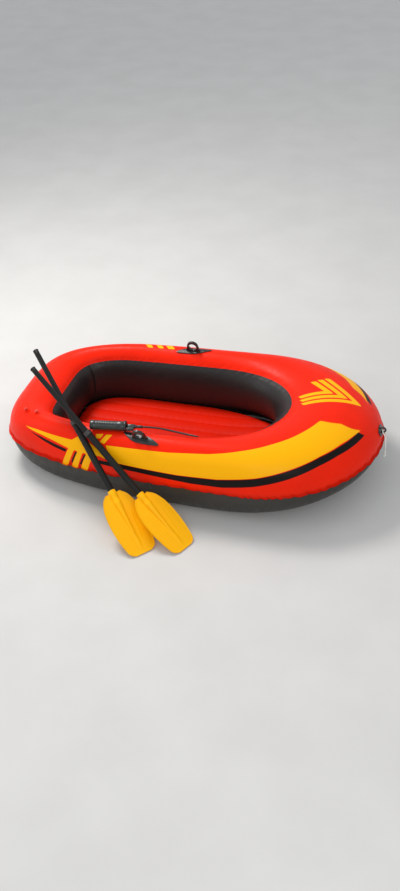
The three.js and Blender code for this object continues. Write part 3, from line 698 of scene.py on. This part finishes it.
# How much narrower the port side's print is, measured from the seam, as (x, share).
PORT_SQUEEZE = [(-0.25, 1), (0, 0.86), (0.35, 0.68), (0.64, 0.68), (0.70, 0.77), (0.75, 0.90), (0.84, 1)]
SLIVER_LINE = [
    (-0.724, 38), (-0.637, 34.5), (-0.563, 30), (-0.493, 26), (-0.501, 20.5), (-0.564, 24), (-0.637, 30),
]
# Thin black marks between the legs: painted shadows, not print, drawn with the black print.
LEG_SHADOW_LINES = [
    [(-0.446, 26), (-0.436, 26), (-0.466, 4), (-0.476, 4)],
    [(-0.399, 25), (-0.389, 25), (-0.419, 4), (-0.429, 4)],
]

# The foredeck's mark, as (x, y): plain nested chevrons that point to the bow.
CHEVRON_TIP = (0.815, 0.046)
CHEVRON_HEADINGS = (138, 194)
CHEVRON_LENGTHS = (0.245, 0.270)
CHEVRON_WIDTH = 0.023
CHEVRON_COUNT = 3
CHEVRON_GAP = 0.011

# About how much film there is to one degree of the section, in metres.
GIRTH_PER_DEGREE = 0.0029


def polygon_distance(points, outline):
    """Signed distance from points to an outline in the plane: negative inside."""
    ring = np.array(outline, float)
    nearest = np.full(points.shape[:-1], np.inf)
    inside = np.zeros(points.shape[:-1], bool)
    for a, b in zip(ring, np.roll(ring, -1, 0)):
        edge = b - a
        offset = points - a
        t = np.clip((offset @ edge) / (edge @ edge), 0, 1)
        nearest = np.minimum(nearest, np.linalg.norm(offset - t[..., None] * edge, axis=-1))
        with np.errstate(divide="ignore", invalid="ignore"):
            crossing = a[0] + (points[..., 1] - a[1]) / edge[1] * edge[0]
        inside ^= ((a[1] > points[..., 1]) != (b[1] > points[..., 1])) & (points[..., 0] < crossing)
    return np.where(inside, -nearest, nearest)


def on_side(outline):
    return [(x, degrees * GIRTH_PER_DEGREE) for x, degrees in outline]


def heading(degrees):
    return np.array([math.cos(math.radians(degrees)), math.sin(math.radians(degrees))])


def chevron_outlines():
    """Nested chevrons whose two arms keep their width round the point and taper to their ends."""
    outlines = []
    middle = heading(sum(CHEVRON_HEADINGS) / 2)
    reach = 1 / math.sin(math.radians((CHEVRON_HEADINGS[1] - CHEVRON_HEADINGS[0]) / 2))
    for k in range(CHEVRON_COUNT):
        tip = np.array(CHEVRON_TIP) + middle * reach * k * (CHEVRON_WIDTH + CHEVRON_GAP)
        inner_tip = tip + middle * reach * CHEVRON_WIDTH
        for degrees, length in zip(CHEVRON_HEADINGS, CHEVRON_LENGTHS):
            along = heading(degrees)
            shorter = length * (1 - 0.22 * k)
            inner_end = inner_tip + along * (shorter - reach * CHEVRON_WIDTH * 0.6)
            outlines.append([tuple(point) for point in (tip, tip + along * shorter, inner_end, inner_tip)])
    return outlines


def print_film(piece, points, degrees):
    """Stores at each vertex the signed distances to the printed areas and to the painted shadows between the
    legs, and the distance from the seam.
    """
    port = points[..., 1] > 0
    squeeze = np.where(port, np.interp(points[..., 0], *zip(*PORT_SQUEEZE)), 1)
    angle = SEAM_ANGLE + (degrees - SEAM_ANGLE) / squeeze
    sides = np.stack([points[..., 0], angle * GIRTH_PER_DEGREE], -1)
    as_built = np.stack([points[..., 0], np.broadcast_to(degrees * GIRTH_PER_DEGREE, points.shape[:2])], -1)
    band = BAND_TOP + BAND_END + BAND_BOTTOM
    yellow = [polygon_distance(sides, on_side(outline)) for outline in (band, SLIVER, *LEGS, *STROKES)]
    yellow += [polygon_distance(points[..., :2], outline) for outline in chevron_outlines()]
    port_strokes = [polygon_distance(as_built, on_side(outline)) for outline in PORT_STROKES]
    yellow += [np.where(port, field, 1) for field in port_strokes]
    strip = STRIP_TOP + STRIP_BOTTOM
    # The black print, together with the painted shadows between the legs.
    black = [polygon_distance(sides, on_side(outline)) for outline in (strip, SLIVER_LINE, *LEG_SHADOW_LINES)]
    seam = np.broadcast_to((degrees - SEAM_ANGLE) * GIRTH_PER_DEGREE, points.shape[:2])
    fields = {"yellow_print": np.min(yellow, 0), "black_print_and_shadow": np.min(black, 0), "seam_distance": seam}
    for name, field in fields.items():
        attribute = piece.data.attributes.new(name, "FLOAT", "POINT")
        attribute.data.foreach_set("value", np.ascontiguousarray(field, np.float32).ravel())


# ---------------------------------------------------------------- Floor and bottom


def panel(edge_angle, columns, rows, height_at, inset):
    """A sheet that fills the outline at one angle of the tube. Its columns run along the boat."""
    edge = hull_points(even_turns(1600)[0], edge_angle, inset)
    half_width = 0.985 * edge[:, 1].max()
    points = []
    for y in np.linspace(-half_width, half_width, columns):
        a, b = edge, np.roll(edge, -1, 0)
        crossed = (a[:, 1] < y) != (b[:, 1] < y)
        xs = (a[:, 0] + (b[:, 0] - a[:, 0]) * (y - a[:, 1]) / (b[:, 1] - a[:, 1] + 1e-12))[crossed]
        x = np.linspace(xs.min(), xs.max(), rows)
        z = height_at(x, y, xs.min(), xs.max())
        points += list(np.stack([x, np.full(rows, y), z], -1))
    return points, grid_faces(columns, rows)


def floor_height(x, y, stern, bow):
    pitch = 2 * hull_points(even_turns(400)[0], FLOOR_EDGE_ANGLE)[:, 1].max() / FLOOR_RIDGES
    phase = y / pitch
    arch = abs(math.sin(math.pi * phase))
    ridge = FLOOR_RIDGE_HEIGHT * arch ** 0.75
    tug = 0.0011 * (1 - arch) * np.sin(x / 0.0125 + 9 * math.floor(phase + 0.5)) ** 2
    from_end = share(np.minimum(x - stern, bow - x), 0, 0.07)
    rise = FLOOR_BOW_RISE["height"] * share(x, FLOOR_BOW_RISE["from"], FLOOR_BOW_RISE["to"]) ** 2
    return FLOOR_HEIGHT + ridge + tug + rise - FLOOR_END_FALL * (1 - from_end) ** 2


def bottom_height(x, y, stern, bow):
    return 0.0004 + tube_bottom(x)


def add_floor_and_bottom(floor_film, bottom_film):
    points, faces = panel(FLOOR_EDGE_ANGLE, 161, 150, floor_height, 0.006)
    new_piece("floor_film", points, faces, floor_film, "hull", ["floor_ribbed_sheet"])
    points, faces = panel(BOTTOM_EDGE_ANGLE, 90, 120, bottom_height, 0.004)
    new_piece("bottom_film", points, [face[::-1] for face in faces], bottom_film, "hull", ["bottom_sheet"])


# ---------------------------------------------------------------- Fittings


def softened(node, name, material, body, voxel, rounds):
    """A moulding with melted edges, from its CAD node: remeshed finely and smoothed."""
    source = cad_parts[node]
    piece = bpy.data.objects.new(name, source.data.copy())
    piece.matrix_world = source.matrix_world
    bpy.context.scene.collection.objects.link(piece)
    remesh = piece.modifiers.new("remesh", "REMESH")
    remesh.mode = "VOXEL"
    remesh.voxel_size = voxel
    smooth = piece.modifiers.new("smooth", "SMOOTH")
    smooth.factor = 0.5
    smooth.iterations = rounds
    evaluated = piece.evaluated_get(bpy.context.evaluated_depsgraph_get())
    mesh = bpy.data.meshes.new_from_object(evaluated)
    piece.modifiers.clear()
    piece.data = mesh
    mesh.materials.clear()
    mesh.materials.append(material)
    mesh.shade_smooth()
    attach(piece, body)
    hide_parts(node)
    return piece


def add_fittings(rubber, valve_film, cap_plastic):
    for side in ("starboard", "port"):
        softened(f"oarlock_{side}", f"oarlock_{side}_moulding", rubber, "hull", 0.0011, 6)
    softened("bow_eye", "bow_eye_moulding", rubber, "hull", 0.0008, 4)
    for valve in ("main_chamber", "inner_chamber", "floor"):
        softened(f"{valve}_valve", f"{valve}_valve_moulding", valve_film, "hull", 0.0004, 3)
        cap = f"{valve}_cap"
        softened(f"{valve}_valve_cap", f"{valve}_cap_moulding", cap_plastic, cap, 0.0003, 3)


# ---------------------------------------------------------------- Oars


def oar_matrix(name):
    tip, handle = (Vector(p) for p in OARS[name])
    along = (handle - tip).normalized()
    across = along.cross(Vector((0, 0, 1))).normalized()
    return frame_matrix(tip, across, along.cross(across), along)


def blade_half_width(along):
    stations = np.array(BLADE_HALF_WIDTHS, float) * MM
    return np.interp(along, stations[:, 0], stations[:, 1])


def smooth_width(along):
    """The blade's half width, rounded over its stations."""
    spread = np.linspace(-0.009, 0.009, 7)
    return np.mean([blade_half_width(np.clip(along + s, 0, BLADE_LENGTH)) for s in spread], 0)


def blade_plate():
    """The blade's plate: a shallow channel each side of a middle ridge, inside a thick rounded rim."""
    tip_rows, neck_rows = np.linspace(0, 0.03, 16), np.linspace(0.303, BLADE_LENGTH, 4)
    rows = np.concatenate([tip_rows, np.linspace(0.034, 0.300, 62), neck_rows])
    across = np.linspace(-1, 1, 61)
    half = smooth_width(rows)
    corner = 0.022
    pull_in = corner - np.sqrt(np.maximum(corner ** 2 - np.maximum(corner - rows, 0) ** 2, 0))
    half = half - pull_in * 0.8
    width = half[:, None] * across[None, :]
    from_edge = np.minimum(half[:, None] - np.abs(width), np.broadcast_to(rows[:, None], width.shape))
    rim = 0.0021 * np.exp(-((from_edge - 0.0028) / 0.0024) ** 2)
    ridge = 0.0042 * np.exp(-((width / 0.0075) ** 2)) * share(rows, 0.015, 0.06)[:, None]
    ribs = 0.0011 * np.exp(-(((np.abs(width) - 0.030 - 0.10 * (rows[:, None] - 0.14)) / 0.0024) ** 2))
    ribs = ribs * share(rows, 0.05, 0.09)[:, None] * share(rows, 0.235, 0.20)[:, None]
    half_thick = 0.0011 + rim + ridge + ribs
    edge_round = np.sqrt(np.clip(from_edge / 0.0022, 0, 1))
    half_thick = half_thick * np.maximum(edge_round, 0.12)
    along = np.broadcast_to(rows[:, None], width.shape)
    faces = []
    points = []
    for sign in (1, -1):
        surface = np.stack([width, half_thick * sign, along], -1).reshape(-1, 3)
        sheet_faces = grid_faces(len(rows), len(across), start=len(points))
        faces += sheet_faces if sign < 0 else [face[::-1] for face in sheet_faces]
        points += [tuple(p) for p in surface]
    count, columns = len(rows) * len(across), len(across)
    rim_path = list(range(columns)) + [r * columns + columns - 1 for r in range(1, len(rows))]
    rim_path += list(range(len(rows) * columns - 2, (len(rows) - 1) * columns - 1, -1))
    rim_path += [r * columns for r in range(len(rows) - 2, 0, -1)]
    for a, b in zip(rim_path, rim_path[1:] + rim_path[:1]):
        faces.append((a, b, b + count, a + count))
    return points, faces


def blade_socket():
    millimetres = [
        (0, 50), (4, 62), (8, 120), (12.5, 190), (15.5, 235), (18.2, 258), (18.6, 266), (17.8, 269),
        (17.8, 292), (18.6, 295), (18.6, 321), (17.6, 324), (16.2, 324), (15.9, 321), (15.9, 290),
    ]
    return turned([(r * MM, z * MM) for r, z in millimetres], 44)


def shaft(at):
    end_round = 0.0008
    radius, start, end, inner = at["radius"], at["from"], at["to"], at["radius"] - at["wall"]
    profile = [
        (inner, end), (inner, start), (radius - end_round, start), (radius, start + end_round),
        (radius, start + 0.02), (radius, (start + end) / 2), (radius, end - 0.02),
        (radius, end - end_round), (radius - end_round, end), (inner, end),
    ]
    return turned(profile, 40)


def handle_grip():
    """The end cap: a flanged plug with a domed end."""
    r, end = UPPER_SHAFT["radius"], OAR_LENGTH
    profile = [
        (0.0085, end - 0.030), (r + 0.0004, end - 0.0069), (r + 0.0010, end - 0.0066),
        (r + 0.0012, end - 0.0058), (r + 0.0010, end - 0.0032), (0.0105, end - 0.0010),
        (0.0065, end - 0.0002), (0, end),
    ]
    return turned(profile, 40)


def collar_ring():
    start, end, radius = JOINT_COLLAR["from"], JOINT_COLLAR["to"], JOINT_COLLAR["radius"]
    middle = (start + end) / 2
    profile = [
        (0.0160, start), (radius - 0.0008, start), (radius, start + 0.0008), (radius, middle - 0.002),
        (radius - 0.0006, middle - 0.0012), (radius - 0.0006, middle + 0.0012), (radius, middle + 0.002),
        (radius, end - 0.0008), (radius - 0.0008, end), (0.0160, end), (0.0160, start),
    ]
    return turned(profile, 40)


def add_oars(blade, dark, ring, cap):
    for name in OARS:
        matrix = oar_matrix(name)
        handle = f"{name}_handle"
        pieces = [
            ("blade", merged(blade_plate(), blade_socket()), blade, name),
            ("lower_shaft", shaft(LOWER_SHAFT), dark, name),
            ("joint_collar", collar_ring(), ring, name),
            ("upper_shaft", shaft(UPPER_SHAFT), dark, handle),
            ("end_cap", handle_grip(), cap, handle),
        ]
        for part, (points, faces), material, body in pieces:
            node = f"{name}_{part}"
            new_piece(f"{node}_form", moved(points, matrix), faces, material, body, [node])


# ---------------------------------------------------------------- Pump


def pump_matrix():
    start, end = (Vector(p) for p in PUMP)
    along = (end - start).normalized()
    across = Vector((0, 0, 1)).cross(along).normalized()
    return frame_matrix(start, across, along.cross(across), along)


def pump_barrel():
    """The barrel, with a ribbed grip over most of its length."""
    r, inside, end = BARREL_RADIUS, BARREL_RADIUS - 0.002, 0.155
    profile = [(inside, end), (inside, 0), (r - 0.0003, 0), (r, 0.0006)]
    for k in range(14):
        z = 0.020 + 0.0075 * k
        profile += [(r, z), (r - 0.0007, z + 0.0012), (r - 0.0007, z + 0.0030), (r, z + 0.0042)]
    profile += [(r, end - 0.001), (r - 0.0004, end), (inside, end)]
    return turned(profile, 56)


def rounded_box(low, high, radius):
    """A box with rounded edges: a sphere whose eight parts are moved apart to the corners."""
    centre = [(a + b) / 2 for a, b in zip(low, high)]
    half = [(b - a) / 2 for a, b in zip(low, high)]
    points = []
    count = 32
    for i in range(count // 2 + 1):
        up = math.pi * (i / (count // 2) - 0.5)
        for k in range(count):
            around = 2 * math.pi * (k + 0.5) / count
            direction = (math.cos(up) * math.cos(around), math.cos(up) * math.sin(around), math.sin(up))
            corner = [np.sign(round(d, 9)) * (h - radius) for d, h in zip(direction, half)]
            points.append([c + out + radius * d for c, out, d in zip(centre, corner, direction)])
    return points, grid_faces(count // 2 + 1, count, closed_columns=True)


def pump_head():
    profile = [
        (0.0083, 0.1676), (0.0104, 0.1676), (0.0110, 0.1684), (0.0110, 0.2050), (0.0104, 0.2060),
        (0.0076, 0.2085), (0.0070, 0.2095), (0.0070, 0.2180), (0.0064, 0.2190), (0.0064, 0.2210),
        (0.0070, 0.2220), (0.0070, 0.2394), (0.0064, 0.2400), (0, 0.2400),
    ]
    leg = rounded_box((-0.0260, -0.0060, 0.1706), (-0.0020, 0.0060, 0.2029), 0.0022)
    web = rounded_box((-0.0264, -0.0066, 0.1700), (-0.0215, 0.0066, 0.2035), 0.0020)
    return merged(turned(profile, 44), leg, web)


def add_pump(plastic, dark):
    matrix = pump_matrix()
    r, inside = BARREL_RADIUS, BARREL_RADIUS - 0.0024
    end_cap = [(0, -0.004), (r - 0.0028, -0.004), (r - 0.0007, -0.0030), (r, -0.0016), (r, -0.0003)]
    end_cap += [(inside, -0.0003), (inside, 0.0049), (0, 0.0049)]
    collar = [(0.0085, 0.1475), (inside, 0.1475), (inside, 0.1554), (r + 0.0013, 0.1554)]
    collar += [(r + 0.0022, 0.1563), (r + 0.0022, 0.1650), (r + 0.0013, 0.1660), (0.0110, 0.1660)]
    collar += [(0.0085, 0.1650), (0.0085, 0.1475)]
    rod = [(0.0064, 0.180), (0.0064, 0.014), (0.0078, 0.014), (0.0080, 0.0142), (0.0080, 0.180)]
    rod += [(0.0064, 0.180)]
    seal = BARREL_RADIUS - 0.0027
    piston = [(0, 0.008), (seal - 0.0008, 0.008), (seal, 0.0088), (seal, 0.0100), (seal - 0.0013, 0.0108)]
    piston += [(seal, 0.0116), (seal, 0.0129), (seal - 0.0008, 0.0137), (0, 0.0137)]
    pieces = [
        ("end_cap", turned(end_cap, 56), dark, "pump"),
        ("barrel", pump_barrel(), plastic, "pump"),
        ("collar", turned(collar, 56), dark, "pump"),
        ("rod", turned(rod, 32), dark, "pump_plunger"),
        ("piston", turned(piston, 40), dark, "pump_plunger"),
        ("head", pump_head(), plastic, "pump_plunger"),
    ]
    for part, (points, faces), material, body in pieces:
        new_piece(f"pump_{part}_form", moved(points, matrix), faces, material, body, [f"pump_{part}"])


# ---------------------------------------------------------------- Build


def add_studio_floor():
    reach, level = 14, -0.0005
    corners = [(x * reach, y * reach, level) for x, y in ((-1, -1), (1, -1), (1, 1), (-1, 1))]
    mesh = bpy.data.meshes.new("studio_floor")
    mesh.from_pydata(corners, [], [(0, 1, 2, 3)])
    mesh.materials.append(floor_paint())
    ground = bpy.data.objects.new("studio_floor", mesh)
    bpy.context.scene.collection.objects.link(ground)


def paint_node(node, material):
    for slot in bpy.data.objects[node].material_slots:
        slot.material = material


add_camera()
rope_material = rope_fibre()
hose_material = moulded("hose_rubber", HOSE_BROWN, 0.38, 0.2)
add_cords(rope_material, hose_material)
add_light()
add_studio_floor()

add_hull_top(printed_film())
bottom_film = plain_film("bottom_film", HULL_GREY, 0.46, 0.05, 0.35)
add_hull_bottom(bottom_film)
wall_film = plain_film("wall_film", WALL_BLACK, 0.42, 0.06, 0.35)
add_cockpit_wall(wall_film)
add_floor_and_bottom(plain_film("floor_film", FLOOR_RED, 0.5, 0), bottom_film)
paint_node("chamber_baffle", wall_film)

rubber = moulded("oarlock_rubber", FITTING_BLACK, 0.30, 0.35)
valve_film = plain_film("valve_film", RED, 0.34)
cap_plastic = moulded("cap_plastic", CAP_RED, 0.38, 0.2)
add_fittings(rubber, valve_film, cap_plastic)

shaft_plastic = moulded("shaft_plastic", SHAFT_BLACK, 0.46, 0.02, 0.35, 0.25)
add_oars(
    moulded("blade_plastic", BLADE_YELLOW, 0.40, 0.06, 0.08, 0.15),
    shaft_plastic,
    moulded("joint_ring", RING_GREY, 0.38, 0.1),
    moulded("cap_rubber", FITTING_BLACK, 0.5),
)
add_pump(moulded("pump_plastic", PUMP_BLACK, 0.30, 0.3), moulded("pump_dark", FITTING_BLACK, 0.34, 0.2))
